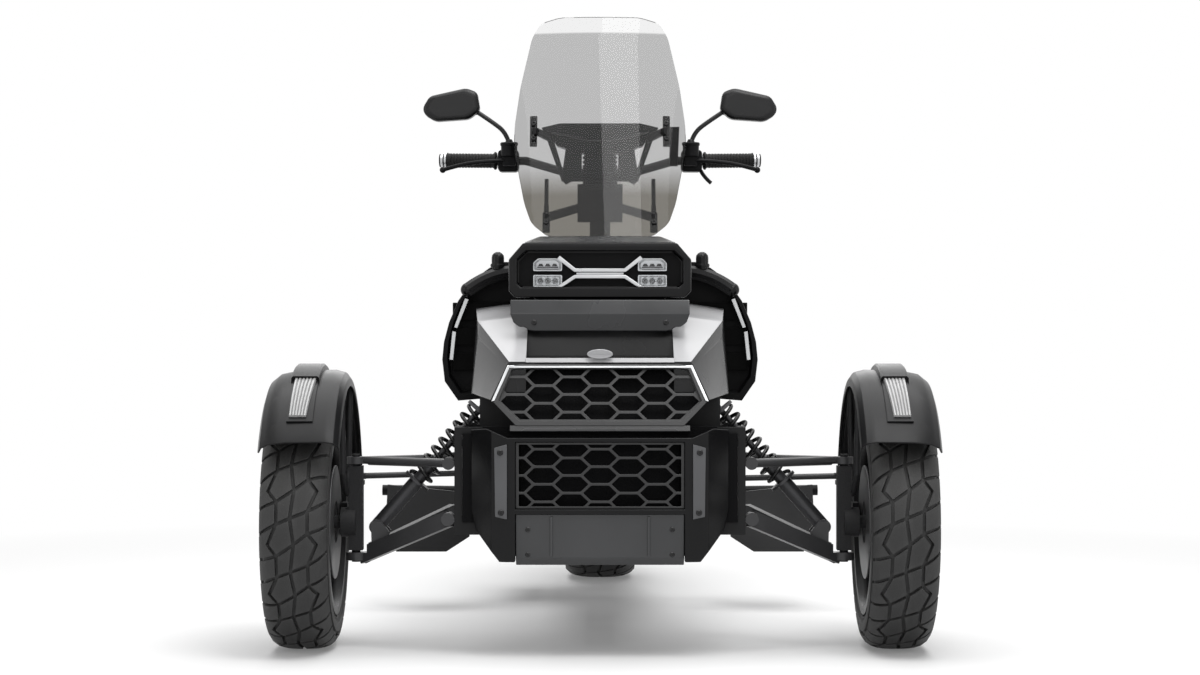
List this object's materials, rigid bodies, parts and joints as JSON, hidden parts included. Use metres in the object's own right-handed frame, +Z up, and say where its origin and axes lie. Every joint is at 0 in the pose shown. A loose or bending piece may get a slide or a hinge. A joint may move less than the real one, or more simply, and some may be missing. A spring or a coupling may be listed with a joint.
{
  "type": "reverse trike",
  "caption": "Reverse trike with steered front wheels on double wishbones, a driven rear wheel, faceted nose, wide headlight, tall clear screen and low saddle.",
  "frame": {"origin": "centre of the footprint on the ground", "axes": "+X to the rider's left, -Y forwards, +Z up"},
  "size_m": [1.509, 2.3522, 1.5219],
  "materials": {
    "tyre": "matte",
    "wheel_black": "satin black",
    "disc_steel": "brushed",
    "frame_black": "satin black powder coat",
    "arm_black": "satin black",
    "cast_black": "matte",
    "spring_black": "gloss black",
    "damper_grey": "satin",
    "mould_black": "fine grained black moulding",
    "gloss_grey": "gloss dark grey panels",
    "strip_grey": "satin grey",
    "skid_grey": "satin dark grey",
    "grille_black": "black mesh",
    "radiator_black": "black core",
    "trim_silver": "bright silver",
    "lamp_clear": "clear lens",
    "lamp_red": "red lens",
    "lamp_white": "ribbed pale lens",
    "seat_black": "grained seat vinyl",
    "engine_dark": "dark cast block",
    "muffler_black": "heat resistant black",
    "alloy": "satin alloy",
    "grip_rubber": "ribbed rubber",
    "screen_clear": "clear, lightly tinted",
    "mirror_shell": "satin black shell"
  },
  "bodies": {
    "chassis": {"main_frame": "frame_black", "front_bumper": "mould_black", "bumper_strips": "strip_grey", "lower_grille": "grille_black", "skid_plate": "skid_grey", "upper_grille": "grille_black", "radiator": "radiator_black", "bonnet": "gloss_grey", "chin_panel": "gloss_grey", "headlight_housing": "mould_black", "headlamps": "lamp_clear", "lamp_brace": "trim_silver", "top_cowl": "gloss_grey", "shoulders": "mould_black", "side_panels": "mould_black", "side_trim": "trim_silver", "console": "mould_black", "seat": "seat_black", "tail_cowl": "mould_black", "tail_lamp": "lamp_red", "engine_block": "engine_dark", "belt_cover": "cast_black", "muffler": "muffler_black", "upper_arms": "arm_black", "lower_arms": "arm_black", "front_dampers": "damper_grey", "front_springs": "spring_black", "footboards": "frame_black", "swingarm": "cast_black", "rear_shock": "damper_grey", "rear_fender": "mould_black"},
    "steering": {"steering_stem": "cast_black", "handlebar": "frame_black", "grips": "grip_rubber", "hand_controls": "mould_black", "mirrors": "mirror_shell", "instrument_cowl": "mould_black", "windscreen": "screen_clear", "screen_brackets": "frame_black"},
    "drop_arm": {"pitman_arm": "cast_black"},
    "tie_left": {"tie_rod_left": "arm_black"},
    "tie_right": {"tie_rod_right": "arm_black"},
    "upright_left": {"knuckle_left": "cast_black", "fender_left": "mould_black", "fender_lamp_left": "lamp_white"},
    "upright_right": {"knuckle_right": "cast_black", "fender_right": "mould_black", "fender_lamp_right": "lamp_white"},
    "wheel_left": {"front_tyre_left": "tyre", "front_rim_left": "wheel_black", "front_disc_left": "disc_steel"},
    "wheel_right": {"front_tyre_right": "tyre", "front_rim_right": "wheel_black", "front_disc_right": "disc_steel"},
    "wheel_rear": {"rear_tyre": "tyre", "rear_rim": "wheel_black", "rear_disc": "disc_steel"}
  },
  "joints": [
    {"name": "steering_turn", "type": "hinge", "parent": "chassis", "child": "steering", "pos_m": [0, -0.18, 1.13], "axis": [0, 0.3746, 0.9272], "range_deg": [-25, 25]},
    {"name": "drop_arm_turn", "type": "hinge", "parent": "chassis", "child": "drop_arm", "pos_m": [0, -0.86, 0.43], "axis": [0, 0, 1], "range_deg": [-25, 25]},
    {"name": "tie_left_turn", "type": "hinge", "parent": "drop_arm", "child": "tie_left", "pos_m": [0, -0.76, 0.376], "axis": [0, 0, 1], "range_deg": [-25, 25]},
    {"name": "tie_right_turn", "type": "hinge", "parent": "drop_arm", "child": "tie_right", "pos_m": [0, -0.76, 0.404], "axis": [0, 0, 1], "range_deg": [-25, 25]},
    {"name": "kingpin_left", "type": "hinge", "parent": "chassis", "child": "upright_left", "pos_m": [0.56, -0.886, 0.29], "axis": [0, 0, 1], "range_deg": [-25, 25]},
    {"name": "kingpin_right", "type": "hinge", "parent": "chassis", "child": "upright_right", "pos_m": [-0.56, -0.886, 0.29], "axis": [0, 0, 1], "range_deg": [-25, 25]},
    {"name": "wheel_left_spin", "type": "hinge", "parent": "upright_left", "child": "wheel_left", "pos_m": [0.675, -0.886, 0.29], "axis": [1, 0, 0], "continuous": true},
    {"name": "wheel_right_spin", "type": "hinge", "parent": "upright_right", "child": "wheel_right", "pos_m": [-0.675, -0.886, 0.29], "axis": [1, 0, 0], "continuous": true},
    {"name": "wheel_rear_spin", "type": "hinge", "parent": "chassis", "child": "wheel_rear", "pos_m": [0, 0.823, 0.2955], "axis": [1, 0, 0], "continuous": true}
  ],
  "couplings": [
    {"joint": "drop_arm_turn", "follows": "steering_turn", "ratio": 1},
    {"joint": "tie_left_turn", "follows": "steering_turn", "ratio": -1},
    {"joint": "tie_right_turn", "follows": "steering_turn", "ratio": -1},
    {"joint": "kingpin_left", "follows": "steering_turn", "ratio": 1},
    {"joint": "kingpin_right", "follows": "steering_turn", "ratio": 1}
  ]
}
